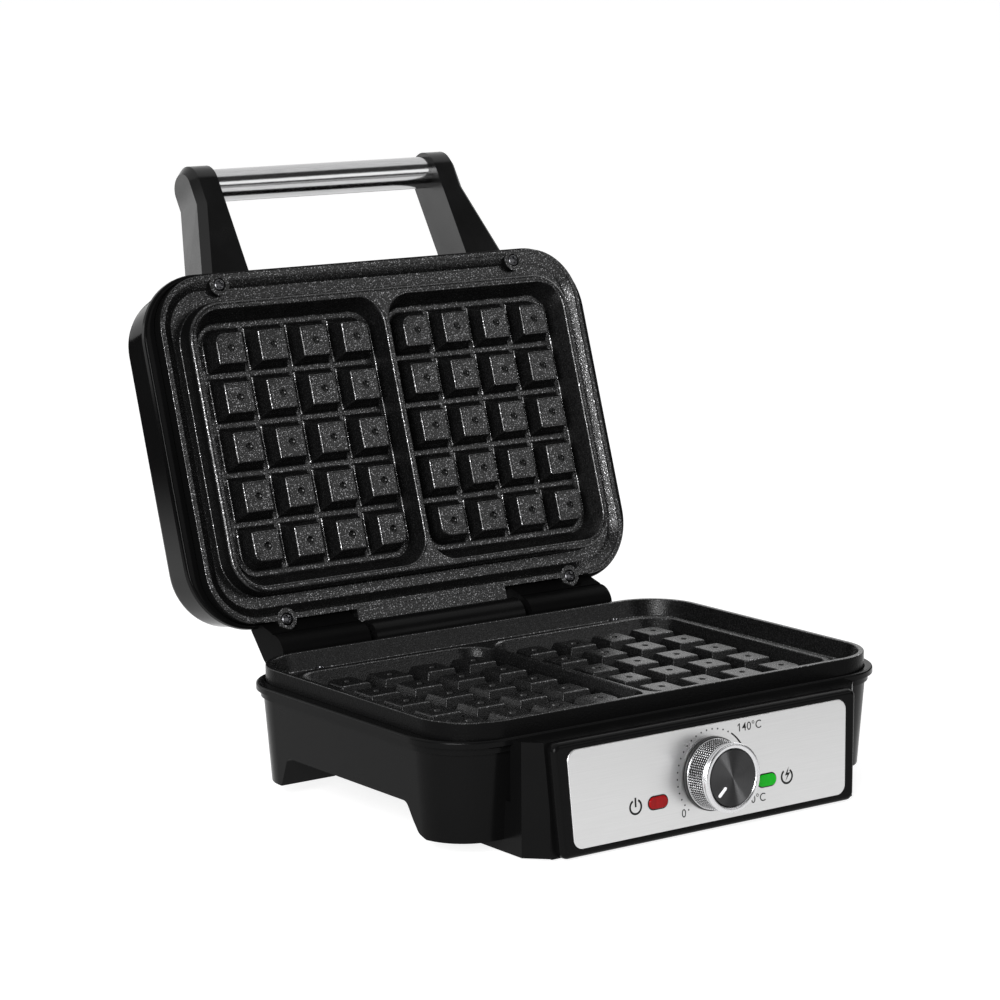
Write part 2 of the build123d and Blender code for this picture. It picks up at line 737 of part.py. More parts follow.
# Bottom cover with the two rear posts, rubber feet pressed in
cover_front = box_back + seat_gap
posts = [(sx * post_x, cover_d / 2 - post_in) for sx in (-1, 1)]
with BuildPart() as bottom_cover:
    with BuildSketch(Plane.XY.offset(under_z)):
        with Locations((0, cover_front)):
            Rectangle(cover_w, arch_back - seat_gap - cover_front, align=(Align.CENTER, Align.MIN))
            Rectangle(2 * (leg_in - seat_gap), cover_d / 2 - cover_front, align=(Align.CENTER, Align.MIN))
    extrude(amount=cover_t)
    with BuildSketch(Plane.XY.offset(tip_h)):
        with Locations(*posts):
            Circle(post_r)
    extrude(amount=under_z - tip_h)
    with BuildSketch(Plane.XY.offset(tip_h)):
        with Locations(*posts):
            Circle(peg_r)
    extrude(amount=peg_h, mode=Mode.SUBTRACT)
    with BuildSketch(Plane.XY.offset(under_z)):
        with Locations(*bosses):
            Circle(screw_r + hole_gap)
    extrude(amount=cover_t, mode=Mode.SUBTRACT)

with BuildPart() as rear_feet:
    with BuildSketch(Plane.XY):
        with Locations(*posts):
            Circle(post_r)
    extrude(amount=tip_h)
    with BuildSketch(Plane.XY.offset(tip_h)):
        with Locations(*posts):
            Circle(peg_r)
    extrude(amount=peg_h)

with BuildPart() as front_feet:
    with BuildSketch(Plane.XY):
        with Locations(*pads):
            Circle(pad_r)
    extrude(amount=pad_h)
    with BuildSketch(Plane.XY.offset(pad_h)):
        with Locations(*pads):
            Circle(peg_r)
    extrude(amount=wall)

with BuildPart() as cover_screws:
    with BuildSketch(Plane.XY.offset(under_z)):
        with Locations(*bosses):
            Circle(screw_r)
    extrude(amount=cover_t + pilot)
    with BuildSketch(Plane.XY.offset(under_z)):
        with Locations(*bosses):
            Circle(head_r)
    extrude(amount=-head_h)

# Panel: frame, brushed sheet, two lenses with their lamps
lens_points = [(-lens_x, knob_y + lens_y), (lens_x, knob_y + lens_y)]
with BuildPart() as panel_frame:
    with BuildSketch(panel.offset(-bezel_t)):
        Polygon(*panel_shape(panel_top, panel_low, panel_h), align=None)
        fillet(vertices(), bezel_r)
    extrude(amount=bezel_t)
    fillet(panel_frame.faces().sort_by(Axis.Y)[0].edges(), bezel_round)
    with BuildSketch(panel.offset(sheet_out - sheet_t)):
        Polygon(*panel_shape(sheet_top + hole_gap, sheet_low + hole_gap, sheet_h + 2 * hole_gap), align=None)
        fillet(vertices(), sheet_r)
    extrude(amount=sheet_t, mode=Mode.SUBTRACT)
    with BuildSketch(panel.offset(-bezel_t)):
        with Locations((0, knob_y)):
            Circle(bush_r + hole_gap)
        with Locations(*lens_points):
            SlotOverall(lens_w + 2 * hole_gap, lens_h + 2 * hole_gap)
    extrude(amount=bezel_t, mode=Mode.SUBTRACT)

with BuildPart() as panel_sheet:
    with BuildSketch(panel.offset(sheet_out - sheet_t)):
        Polygon(*panel_shape(sheet_top, sheet_low, sheet_h), align=None)
        fillet(vertices(), sheet_r)
        with Locations((0, knob_y)):
            Circle(bush_r + hole_gap, mode=Mode.SUBTRACT)
        with Locations(*lens_points):
            SlotOverall(lens_w + 2 * hole_gap, lens_h + 2 * hole_gap, mode=Mode.SUBTRACT)
    extrude(amount=sheet_t)

lenses = {}
lamps = {}
for colour, spot in (("red", lens_points[0]), ("green", lens_points[1])):
    with BuildPart() as lens:
        with BuildSketch(panel.offset(-bezel_t - lens_flange)):
            with Locations(spot):
                SlotOverall(lens_w, lens_h)
        extrude(amount=bezel_t + lens_flange + sheet_out + lens_out)
        fillet(lens.faces().sort_by(Axis.Y)[0].edges(), lens_round)
        with BuildSketch(panel.offset(-bezel_t - lens_flange)):
            with Locations(spot):
                SlotOverall(lens_w + 2 * lens_flange, lens_h + 2 * lens_flange)
        extrude(amount=lens_flange)
    lenses[colour] = lens
    with BuildPart() as lamp:
        with BuildSketch(panel.offset(-bezel_t - lens_flange)):
            with Locations(spot):
                Circle(lamp_r)
        extrude(amount=-lamp_l)
    lamps[colour] = lamp

# Thermostat on the back of the frame, its shaft out to the knob
with BuildPart() as thermostat:
    with BuildSketch(panel.offset(-bezel_t)):
        with Locations((0, knob_y)):
            RectangleRounded(stat_w, stat_h, stat_r)
    extrude(amount=-stat_deep)
    with BuildSketch(panel.offset(-bezel_t)):
        with Locations((0, knob_y)):
            Circle(bush_r)
    extrude(amount=bezel_t + bush_out)
    with BuildSketch(panel.offset(-bezel_t - shaft_in)):
        with Locations((0, knob_y)):
            Circle(shaft_r + fit)
    extrude(amount=shaft_in + bezel_t + bush_out, mode=Mode.SUBTRACT)

with BuildPart() as thermostat_shaft:
    with BuildSketch(panel.offset(shaft_gap - bezel_t - shaft_in)):
        with Locations((0, knob_y)):
            Circle(shaft_r)
    extrude(amount=bezel_t + shaft_in - shaft_gap + shaft_out)

# Knob: core with a thin flange, sleeve with a front ring, spun cap, pointer bar
knob_low = sheet_out + knob_gap
sleeve_low = knob_low + knob_base_t
knob_top = knob_low + knob_h
cap_low = knob_top - cap_in - cap_t
with BuildPart() as knob_core:
    with BuildSketch(panel.offset(knob_low)):
        with Locations((0, knob_y)):
            Circle(knob_base)
    extrude(amount=knob_base_t)
    with BuildSketch(panel.offset(knob_low)):
        with Locations((0, knob_y)):
            Circle(cap_r)
    extrude(amount=cap_low - knob_low)
    with BuildSketch(panel.offset(knob_low)):
        with Locations((0, knob_y)):
            Circle(hub_r)
    extrude(amount=hub_h, mode=Mode.SUBTRACT)
    with BuildSketch(panel.offset(knob_low)):
        with Locations((0, knob_y)):
            Circle(shaft_r)
    extrude(amount=shaft_out - knob_low, mode=Mode.SUBTRACT)

with BuildPart() as knob_sleeve:
    with BuildSketch(panel.offset(sleeve_low)):
        with Locations((0, knob_y)):
            Circle(knob_back)
    with BuildSketch(panel.offset(knob_top - ring_t)):
        with Locations((0, knob_y)):
            Circle(knob_mid)
    loft()
    with BuildSketch(panel.offset(knob_top - ring_t)):
        with Locations((0, knob_y)):
            Circle(ring_r)
    extrude(amount=ring_t)
    fillet(knob_sleeve.faces().sort_by(Axis.Y)[0].edges(), ring_round)
    with BuildSketch(panel.offset(sleeve_low)):
        with Locations((0, knob_y)):
            Circle(cap_r)
    extrude(amount=knob_top - sleeve_low, mode=Mode.SUBTRACT)

swing = radians(pointer_angle)
pointer_spot = Location((pointer_at * cos(swing), knob_y + pointer_at * sin(swing)), pointer_angle)
with BuildPart() as knob_cap:
    with BuildSketch(panel.offset(cap_low)):
        with Locations((0, knob_y)):
            Circle(cap_r)
    extrude(amount=cap_t)
    with BuildSketch(panel.offset(cap_low + cap_t / 2)):
        with Locations(pointer_spot):
            SlotOverall(pointer_l, pointer_w)
    extrude(amount=cap_t / 2, mode=Mode.SUBTRACT)

with BuildPart() as knob_pointer:
    with BuildSketch(panel.offset(cap_low + cap_t / 2)):
        with Locations(pointer_spot):
            SlotOverall(pointer_l, pointer_w)
    extrude(amount=cap_t / 2 + pointer_out)

# In the box and under the tray: terminal block and thermal cut-out
with BuildPart() as terminal_block:
    with BuildSketch(Plane.XY.offset(pad_h + wall)):
        with Locations((term_x, panel_y + term_in)):
            Rectangle(term_w, term_d)
    extrude(amount=term_h)
    with BuildSketch(Plane.XY.offset(pad_h + wall + term_h - term_cut)):
        with Locations((term_x, panel_y + term_in)):
            with GridLocations(term_pitch, term_pitch, 4, 1):
                Rectangle(term_slot, term_d)
    extrude(amount=term_cut, mode=Mode.SUBTRACT)

tray_under = pan_low - (2 * rod_r - rod_sunk) - sheet
with BuildPart() as thermal_cutout:
    with BuildSketch(base.offset(tray_under)):
        with Locations((cut_x, 0)):
            Circle(cut_r)
    extrude(amount=-cut_t)
    with BuildSketch(base.offset(tray_under - cut_t)):
        with Locations((cut_x, 0)):
            Circle(can_r)
    extrude(amount=-can_h)

# The origin lies on the table under the middle of the overall depth, knob front to handle back
front_y = panel_y - knob_top * cos(tilt) + (knob_y + ring_round - ring_r) * sin(tilt)
back_y = lid_y + arm_v * up_y - tube_h * up_z + arm_r
mid_y = (front_y + back_y) / 2

# Cord inlet bush in the back wall
with BuildPart() as cord_gland:
    with BuildSketch(back_wall.offset(-wall - gland_in)):
        Circle(gland_r)
    extrude(amount=wall + gland_in)
    with BuildSketch(back_wall):
        Circle(gland_r + gland_rim)
    extrude(amount=gland_out)
    with BuildSketch(back_wall.offset(-wall - gland_in)):
        Circle(bore_r)
    extrude(amount=wall + gland_in + gland_out, mode=Mode.SUBTRACT)

for name, piece in (
    ("lower_heater", lower_heater),
    ("lower_tray", lower_tray),
    ("lower_plate", lower_plate),
    ("lower_plate_screws", lower_screws),
    ("upper_heater", upper_heater),
    ("upper_tray", upper_tray),
    ("upper_plate", upper_plate),
    ("upper_plate_screws", upper_screws),
    ("lid_housing", lid_housing),
    ("handle_arm_left", arms["left"]),
    ("handle_arm_right", arms["right"]),
    ("handle_tube", handle_tube),
    ("hinge_ear_left", ears["left"]),
    ("hinge_ear_right", ears["right"]),
    ("hinge_rod", hinge_rod),
    ("base_housing", base_housing),
    ("handle_screws", handle_screws),
    ("bottom_cover", bottom_cover),
    ("front_feet", front_feet),
    ("rear_feet", rear_feet),
    ("bottom_cover_screws", cover_screws),
    ("panel_frame", panel_frame),
    ("panel_sheet", panel_sheet),
    ("lens_red", lenses["red"]),
    ("lens_green", lenses["green"]),
    ("lamp_red", lamps["red"]),
    ("lamp_green", lamps["green"]),
    ("thermostat", thermostat),
    ("thermostat_shaft", thermostat_shaft),
    ("knob_core", knob_core),
    ("knob_sleeve", knob_sleeve),
    ("knob_cap", knob_cap),
    ("knob_pointer", knob_pointer),
    ("terminal_block", terminal_block),
    ("thermal_cutout", thermal_cutout),
    ("cord_gland", cord_gland),
):
    shown = piece.part.moved(Pos(0, -mid_y, 0))
    shown.label = name
    export_step(shown, "parts/" + name + ".step")
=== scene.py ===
import json
from math import atan2, cos, pi, radians, sin, tau

import bmesh
import bpy
from mathutils import Matrix, Vector


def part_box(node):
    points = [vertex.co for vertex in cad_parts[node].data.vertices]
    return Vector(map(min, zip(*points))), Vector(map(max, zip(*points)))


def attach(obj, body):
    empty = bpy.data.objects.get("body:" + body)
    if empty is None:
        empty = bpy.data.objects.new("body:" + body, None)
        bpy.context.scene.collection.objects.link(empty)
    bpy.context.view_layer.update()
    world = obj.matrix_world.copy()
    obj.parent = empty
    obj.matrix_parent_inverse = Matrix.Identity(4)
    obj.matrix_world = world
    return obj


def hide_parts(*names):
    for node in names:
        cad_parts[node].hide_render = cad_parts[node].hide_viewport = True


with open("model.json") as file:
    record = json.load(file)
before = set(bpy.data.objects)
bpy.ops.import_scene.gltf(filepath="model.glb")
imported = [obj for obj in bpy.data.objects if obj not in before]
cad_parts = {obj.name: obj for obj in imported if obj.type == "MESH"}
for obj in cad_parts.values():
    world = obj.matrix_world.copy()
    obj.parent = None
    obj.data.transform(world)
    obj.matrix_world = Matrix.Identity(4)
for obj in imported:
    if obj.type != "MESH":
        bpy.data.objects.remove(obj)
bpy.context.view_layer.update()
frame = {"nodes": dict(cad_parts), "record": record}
scene = bpy.context.scene
nodes = frame["nodes"]
slot_of = {s["node"]: s["material_slot"] for s in frame["record"]["subparts"]}
MM = 0.001

# Sizes of the solids that the pieces follow, in millimetres, and two angles
lean = radians(17.9)    # opened lid past upright
tilt = radians(3.5)     # panel leaning back
hinge_back = 103.6      # middle of each plate to the hinge axis
hinge_drop = 3.4        # rim of the lower plate down to the hinge axis
lid_off = 3.9           # hinge axis to the rim plane of the upper plate
panel_ahead = 109.7     # middle of the lower plate to the panel
panel_drop = 35.6       # rim of the lower plate down to the middle of the panel
knob_drop = 0.4         # middle of the panel down to the knob axis
sheet_out = 0.4         # steel sheet in front of its frame
lens_x = 32.5           # lenses, from the knob axis
lens_y = -8.2
pitch = 25.0            # one pocket block to the next
cols = 4
rows = 5
grid_x = 56.3           # middle of the part to the middle of a field of blocks
grid_shift = 0.6        # fields sit this far towards the hinge
block_h = 9.0
crown_up = 4.3          # upper plate levels, from its rim
ridge_up = 6.3
channel_up = -3.4
crown_low = -8.7        # lower plate levels, from its rim
ridge_low = -6.5
channel_low = -8.7
seat_low = -12.0
upper_screws = [(-91, 82.4), (91, 82.4), (-88, -87.5), (88, -87.5)]
lower_screws = [(sx * 91, sy * 78) for sx in (-1, 1) for sy in (-1, 1)]
head_r = 3.1            # plate screws
head_h = 1.6
head_sunk = 1.3         # seats of the heads below the rim of the upper plate

# Sizes of the fine forms, in millimetres
mark_r = 2.1            # round pit in each block top
mark_steps = 20
shoulder_round = 0.9    # rounded edges of blocks, valleys and ridges
rim_round = 0.5
sheet_round = 0.4
screw_clear = 9.0       # edges this near a plate screw stay as they are
edge_fit = 0.15         # edge to the level it is looked for at
top_fit = 0.05          # face to the level of the block tops
top_reach = 12.0        # corners of a block top, from its middle
sheet_fit = 0.1         # edge to the front of the steel sheet
sheet_inner_x = 54      # openings of the sheet lie within these half sizes
sheet_inner_y = 17
weld = 0.002            # vertices closer than this are one
ink_h = 0.03            # print above the steel
letter_size = 5.5
letter_bold = 0.008
letter_gap = 1.04       # spacing of the longer numbers
sign_r = 3.25           # lamp symbols
sign_line = 1.0
barrel_r = 16.62        # knurled barrel of the knob at its foot
barrel_foot = 1.4
barrel_long = 12.1
barrel_taper = 0.62
knurl_low = 2.3
knurl_high = 11.6
knurl_deep = 0.32
knurl_shade_deep = 0.2
knurl_round = 84        # knurls round the barrel and along it
knurl_rows = 7
knob_steps = 96

# Angles between faces, the last as a cosine
edge_angle = radians(24)    # edges sharper than this are rounded
sharp_angle = radians(36)   # edges sharper than this are shaded as edges
flat_angle = radians(0.4)   # faces closer than this are one
level_cos = 0.9999          # faces that look along an axis

# Reference places, from the box of the lower plate
plate_lo, plate_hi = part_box("lower_plate")
rim_z = plate_hi.z
mid_y = (plate_lo.y + plate_hi.y) / 2
side = Vector((1, 0, 0))
back = Vector((0, 1, 0))
sky = Vector((0, 0, 1))
lid_up = Vector((0, sin(lean), cos(lean)))
lid_out = Vector((0, -cos(lean), sin(lean)))
panel_up = Vector((0, sin(tilt), cos(tilt)))
panel_out = Vector((0, -cos(tilt), sin(tilt)))
base_mid = Vector((0, mid_y, rim_z))
hinge = Vector((0, mid_y + hinge_back * MM, rim_z - hinge_drop * MM))
lid_mid = hinge + lid_up * hinge_back * MM - lid_out * lid_off * MM
panel_mid = Vector((0, mid_y - panel_ahead * MM, rim_z - panel_drop * MM))
dial = panel_mid - panel_up * knob_drop * MM


def on_panel(x, y, h=0.0):
    """Point of the panel, in millimetres from the knob axis, h out from the steel."""
    return dial + side * x * MM + panel_up * y * MM + panel_out * (sheet_out + h) * MM


def on_lid(x, v, h):
    """Point of the opened lid, in millimetres from the middle of its rim plane."""
    return lid_mid + side * x * MM + lid_up * v * MM + lid_out * h * MM


def on_base(x, y, h):
    """Point of the base, in millimetres from the middle of the lower plate's rim."""
    return Vector((x * MM, mid_y + y * MM, rim_z + h * MM))


# Shader nodes
def new_tree(owner, output):
    """Empty node tree of a material or a world, and its output node."""
    owner.use_nodes = True
    tree = owner.node_tree
    tree.nodes.clear()
    return tree, tree.nodes.new(output)


def feed(tree, node, key, value):
    """Sets an input of a node to a value, or joins it to the output of another node."""
    if isinstance(value, bpy.types.NodeSocket):
        tree.links.new(value, node.inputs[key])
    else:
        node.inputs[key].default_value = value


def add(tree, kind, inputs, **settings):
    """New node with its settings and inputs."""
    node = tree.nodes.new(kind)
    for name, value in settings.items():
        setattr(node, name, value)
    for key, value in inputs.items():
        feed(tree, node, key, value)
    return node


def number_math(tree, operation, first, second):
    return add(tree, "ShaderNodeMath", {0: first, 1: second}, operation=operation).outputs[0]


def vector_math(tree, operation, *vectors):
    node = add(tree, "ShaderNodeVectorMath", dict(enumerate(vectors)), operation=operation)
    return node.outputs["Value" if operation in ("DISTANCE", "DOT_PRODUCT", "LENGTH") else "Vector"]


def map_range(tree, value, start, end, low, high, interpolation="LINEAR"):
    """Low where a value is at its start, high where it is at its end."""
    inputs = {"Value": value, "From Min": start, "From Max": end, "To Min": low, "To Max": high}
    return add(tree, "ShaderNodeMapRange", inputs, interpolation_type=interpolation).outputs["Result"]


# Materials
class Mat:
    """A material with a Principled shader and helpers to wire procedural nodes."""

    def __init__(self, name, colour, rough, metal=0.0, spec=0.5):
        self.mat = bpy.data.materials.new(name)
        self.tree, out = new_tree(self.mat, "ShaderNodeOutputMaterial")
        self.bsdf = self.tree.nodes.new("ShaderNodeBsdfPrincipled")
        self.tree.links.new(self.bsdf.outputs[0], out.inputs[0])
        self.put("Base Color", (*colour, 1.0))
        self.put("Roughness", rough)
        self.put("Metallic", metal)
        self.put("Specular IOR Level", spec)
        self.coords = self.tree.nodes.new("ShaderNodeTexCoord")

    def put(self, key, value):
        feed(self.tree, self.bsdf, key, value)

    def noise(self, scale, detail=2.0, stretch=(1, 1, 1), rough=0.5):
        spots = self.coords.outputs["Object"]
        place = add(self.tree, "ShaderNodeMapping", {"Vector": spots, "Scale": stretch}).outputs[0]
        inputs = {"Vector": place, "Scale": scale, "Detail": detail, "Roughness": rough}
        return add(self.tree, "ShaderNodeTexNoise", inputs).outputs["Fac"]

    def ramp(self, fac, *stops):
        """Colours at places along a value."""
        node = add(self.tree, "ShaderNodeValToRGB", {"Fac": fac})
        elements = node.color_ramp.elements
        while len(elements) < len(stops):
            elements.new(0.5)
        for element, (at, colour) in zip(elements, stops):
            element.position = at
            element.color = (*colour, 1.0)
        return node.outputs["Color"]

    def spread(self, fac, low, high, start=0.3, end=0.7):
        return map_range(self.tree, fac, start, end, low, high)

    def bump(self, height, strength, distance, before=None):
        """Fine relief, on top of the one before it if given."""
        inputs = {"Height": height, "Strength": strength, "Distance": distance}
        if before is not None:
            inputs["Normal"] = before
        normal = add(self.tree, "ShaderNodeBump", inputs).outputs["Normal"]
        self.put("Normal", normal)
        return normal


def grey(v):
    """Grey with a slight cold tint."""
    return (v, v, v * 1.02)


def moulding(name, shade, rough, grain, spec=0.5):
    """Plain moulding or print with soft clouds in its shade, wear in its gloss and a fine grain."""
    m = Mat(name, grey(shade), rough, spec=spec)
    clouds = m.noise(scale=14, detail=3)
    m.put("Base Color", m.ramp(clouds, (0.3, grey(shade * 0.85)), (0.7, grey(shade * 1.2))))
    wear = m.noise(scale=55, detail=4)
    m.put("Roughness", m.spread(wear, rough * 0.88, rough * 1.15))
    m.bump(m.noise(scale=1500), grain, distance=0.00012)
    return m.mat


def cast_coating(name, out):
    """Non-stick coating on cast metal, with painted light and shade: bright flecks and full gloss only on the
    faces that look out, and the walls left near black as painted shade.
    """
    m = Mat(name, grey(0.004), 0.26, spec=0.4)
    facing = vector_math(m.tree, "DOT_PRODUCT", m.coords.outputs["Normal"], out)
    # Painted light and shade by facing: the faces that look out get the flecks and the gloss, and the walls
    # get neither
    front = m.spread(facing, 0.0, 1.0, start=0.15, end=0.75)
    fine = m.noise(scale=1700, detail=0.5)
    coarse = m.noise(scale=560, rough=0.6)
    fleck = number_math(m.tree, "MULTIPLY", m.spread(fine, 0.0, 1.0, start=0.55, end=0.70), front)
    m.put("Base Color", m.ramp(fleck, (0.0, grey(0.003)), (0.5, grey(0.035)), (1.0, grey(0.28))))
    m.put("Metallic", m.spread(fleck, 0.0, 1.0, start=0.0, end=0.5))
    m.put("Specular IOR Level", m.spread(front, 0.03, 0.36, start=0.0, end=1.0))
    m.put("Roughness", m.spread(coarse, 0.22, 0.32))
    cast = m.bump(coarse, 0.15, distance=0.00030)
    m.bump(fine, 0.35, distance=0.00028, before=cast)
    return m.mat


def brushed(name, colour, rough, stretch, depth=0.08, scale=900, change=0.13):
    """Metal with fine lines along the axis that is stretched, or an even grain."""
    m = Mat(name, colour, rough, metal=1.0)
    lines = m.noise(scale, 3, stretch)
    dark = tuple(c * (1 - change) for c in colour)
    bright = tuple(min(1, c * (1 + change * 0.7)) for c in colour)
    m.put("Base Color", m.ramp(lines, (0.25, dark), (0.75, bright)))
    m.put("Roughness", m.spread(lines, rough * (1 - change), rough * (1 + change)))
    m.bump(lines, depth, distance=0.0001)
    return m.mat


def lit(name, colour, glow, strength):
    """Coloured lens or glass with a light behind it."""
    m = Mat(name, colour, 0.16, spec=0.12)
    ribs = m.noise(scale=700, stretch=(1, 1, 0.25))
    m.put("Base Color", m.ramp(ribs, (0.3, tuple(c * 0.75 for c in colour)), (0.7, colour)))
    m.put("Emission Color", (*glow, 1.0))
    m.put("Emission Strength", strength)
    m.put("Coat Weight", 0.05)
    m.bump(ribs, 0.15, distance=0.0001)
    return m.mat


def spun_disc():
    """Dark turned disc: fine rings round the dial axis, and a finish swung off the rings, so that the
    two bright fans of a turned face lie across the disc."""
    m = Mat("spun_disc", grey(0.10), 0.24, metal=1.0)
    spots = m.coords.outputs["Object"]
    turn = {"Vector": spots, "Location": dial, "Rotation": (pi / 2 - tilt, 0, 0)}
    face = add(m.tree, "ShaderNodeMapping", turn, vector_type="TEXTURE").outputs[0]
    radius = vector_math(m.tree, "LENGTH", vector_math(m.tree, "MULTIPLY", face, (1, 1, 0)))
    lines = {"W": radius, "Scale": 5200, "Detail": 2}
    rings = add(m.tree, "ShaderNodeTexNoise", lines, noise_dimensions="1D").outputs["Fac"]
    m.put("Roughness", m.spread(rings, 0.42, 0.52))
    m.put("Base Color", m.ramp(rings, (0.3, grey(0.055)), (0.7, grey(0.085))))
    away = vector_math(m.tree, "SUBTRACT", spots, dial)
    swing = {"Vector": away, "Axis": panel_out, "Angle": radians(-45)}
    swung = add(m.tree, "ShaderNodeVectorRotate", swing).outputs["Vector"]
    along = vector_math(m.tree, "CROSS_PRODUCT", swung, panel_out)
    m.put("Tangent", vector_math(m.tree, "NORMALIZE", along))
    m.put("Anisotropic", 1.0)
    return m.mat


looks = {
    "body_black": moulding("satin_black", 0.003, 0.24, 0.05, 0.05),
    "lid_black": moulding("gloss_black", 0.0025, 0.12, 0.012, 0.035),
    "steel_sheet": brushed("brushed_sheet", (0.60, 0.60, 0.60), 0.34, (0.012, 1, 1), 0.012, 3600, 0.05),
    "steel_tube": brushed("satin_tube", (0.50, 0.50, 0.505), 0.17, (0.05, 1, 1), 0.03, 2400),
    "screw_steel": brushed("screw_metal", (0.10, 0.10, 0.105), 0.30, (1, 1, 1), 0.10),
    "rod_steel": brushed("rod_metal", (0.55, 0.55, 0.56), 0.30, (0.05, 1, 1)),
    "heater_steel": brushed("heater_sheath", (0.30, 0.28, 0.27), 0.45, (1, 1, 1), 0.2),
    "tray_metal": brushed("bright_tray", (0.74, 0.74, 0.75), 0.28, (0.1, 1, 1)),
    "knob_metal": brushed("knob_bright", (0.58, 0.58, 0.59), 0.27, (1, 1, 1), 0.0, 300, 0.03),
    "mark_white": moulding("pointer_white", 0.80, 0.35, 0.02),
    "lens_red": lit("lens_red_lit", (0.22, 0.002, 0.003), (0.24, 0.002, 0.003), 0.22),
    "lens_green": lit("lens_green_lit", (0.002, 0.28, 0.008), (0.002, 0.36, 0.008), 0.6),
    "lamp_glass": lit("lamp_glow", (0.8, 0.55, 0.35), (1.0, 0.5, 0.25), 0.3),
    "stat_plastic": moulding("dark_moulding", 0.016, 0.4, 0.15),
    "rubber": moulding("rubber_black", 0.014, 0.75, 0.3),
    "knob_disc": spun_disc(),
}
# Print; the same dark look also paints the shade of the gap round each lens
print_and_gap_shade_ink = moulding("print_ink_and_gap_shade", 0.003, 0.5, 0.0, 0.2)
# Near-black look of the barrel that paints shade into the knurl valleys
knurl_shade_look = moulding("knurl_shade", 0.004, 0.6, 0.0, 0.1)
# Pits in the block tops: a smooth gloss, and a near-black colour without the flecks of the tops that paints
# shade into the pits
pit_gloss_and_shade_look = moulding("pit_coating_and_shade", 0.002, 0.13, 0.0, 0.22)
hinge_look = moulding("hinge_black", 0.002, 0.4, 0.05, 0.02)
arm_look = moulding("arm_black", 0.003, 0.24, 0.05, 0.32)
own_looks = {
    "hinge_ear_left": hinge_look,
    "hinge_ear_right": hinge_look,
    "handle_arm_left": arm_look,
    "handle_arm_right": arm_look,
    "upper_plate": cast_coating("speckled_coating_upper", lid_out),
    "lower_plate": cast_coating("speckled_coating_lower", sky),
}


def look_of(node):
    """A node's own look, or that of its slot."""
    return own_looks.get(node) or looks[slot_of[node]]


for name, node in nodes.items():
    node.data.materials.clear()
    node.data.materials.append(look_of(name))


# Pieces
def body_name(node):
    """Body that a node belongs to."""
    bodies = frame["record"]["behaviour"]["bodies"]
    return next(body for body, parts in bodies.items() if node in parts)


def piece(name, mesh, body, look):
    """Object of a mesh that rides on a body."""
    obj = bpy.data.objects.new(name, mesh)
    scene.collection.objects.link(obj)
    mesh.materials.clear()
    mesh.materials.append(look)
    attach(obj, body)
    return obj


def joined(name, body, look, build):
    """Piece of the forms that a function builds in one mesh."""
    bm = bmesh.new()
    build(bm)
    mesh = bpy.data.meshes.new(name)
    bm.to_mesh(mesh)
    bm.free()
    return piece(name, mesh, body, look)


def opened(node):
    """Copy of a node's mesh, and the same form for editing, with its split vertices joined."""
    mesh = nodes[node].data.copy()
    bm = bmesh.new()
    bm.from_mesh(mesh)
    bmesh.ops.remove_doubles(bm, verts=bm.verts, dist=weld * MM)
    return mesh, bm


def closed(node, mesh, bm):
    """Smooth piece of an edited form, in place of its node."""
    for face in bm.faces:
        face.smooth = True
    bm.to_mesh(mesh)
    bm.free()
    obj = piece(node + "_edged", mesh, body_name(node), look_of(node))
    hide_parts(node)
    return obj


def even_shading(obj):
    """Shading that follows the large faces of a piece."""
    normal = obj.modifiers.new("normals", "WEIGHTED_NORMAL")
    normal.weight = 80
    return normal


def round_points(radius, steps):
    """Flat points round a circle."""
    return [(radius * cos(tau * k / steps), radius * sin(tau * k / steps)) for k in range(steps)]


def row_at(bm, spot, axis, points, height=0.0):
    """Vertices at flat points round an axis through a spot, at a height along the axis."""
    turn = axis.to_track_quat("Z", "X").to_matrix()
    return [bm.verts.new(spot + turn @ Vector((x, y, height))) for x, y in points]


def bridge(bm, low, high, smooth=True):
    """Faces between two closed rows of vertices."""
    n = len(low)
    for k in range(n):
        face = bm.faces.new((low[k], low[(k + 1) % n], high[(k + 1) % n], high[k]))
        face.smooth = smooth


def skin(bm, lines, smooth=True):
    """Faces through several closed rows of vertices."""
    for low, high in zip(lines, lines[1:]):
        bridge(bm, low, high, smooth)


# Rounded edges, and round marks in the block tops
def rounded(node, groups, spots=()):
    """A node's own form with chosen edges rounded and round marks cut out of its flat tops. Each group
    of edges is a width in millimetres and a test of the two ends of an edge."""
    mesh, bm = opened(node)
    for width, wanted in groups:
        edges = [
            e for e in bm.edges
            if e.is_manifold and e.calc_face_angle() > edge_angle and wanted(e.verts[0].co, e.verts[1].co)
        ]
        bmesh.ops.bevel(
            bm, geom=edges, offset=width * MM, offset_type="OFFSET", segments=3, profile=0.5,
            affect="EDGES", clamp_overlap=False,
        )
    bm.normal_update()
    for spot, axis in spots:
        pierce(bm, spot, axis)
    for edge in bm.edges:
        edge.smooth = not (edge.is_manifold and edge.calc_face_angle() > sharp_angle)
    even_shading(closed(node, mesh, bm)).keep_sharp = True


def pierce(bm, spot, axis):
    """Cuts a round mark out of the flat top round a spot."""
    def in_top(p):
        away = p - spot
        return abs(away.dot(axis)) < top_fit * MM and away.length < top_reach * MM

    top = [f for f in bm.faces if f.normal.dot(axis) > level_cos and all(in_top(v.co) for v in f.verts)]
    if len(top) > 1:
        top = bmesh.ops.dissolve_faces(bm, faces=top)["region"]
    if len(top) != 1:
        return
    outer = list(top[0].edges)
    bm.faces.remove(top[0])
    ring = row_at(bm, spot, axis, round_points(mark_r * MM, mark_steps))
    inner = [bm.edges.new(ends) for ends in zip(ring, ring[1:] + ring[:1])]
    made = bmesh.ops.triangle_fill(bm, edges=outer + inner, use_beauty=True, use_dissolve=False, normal=axis)
    for face in made["geom"]:
        if isinstance(face, bmesh.types.BMFace):
            face.normal_update()
            if face.normal.dot(axis) < 0:
                face.normal_flip()


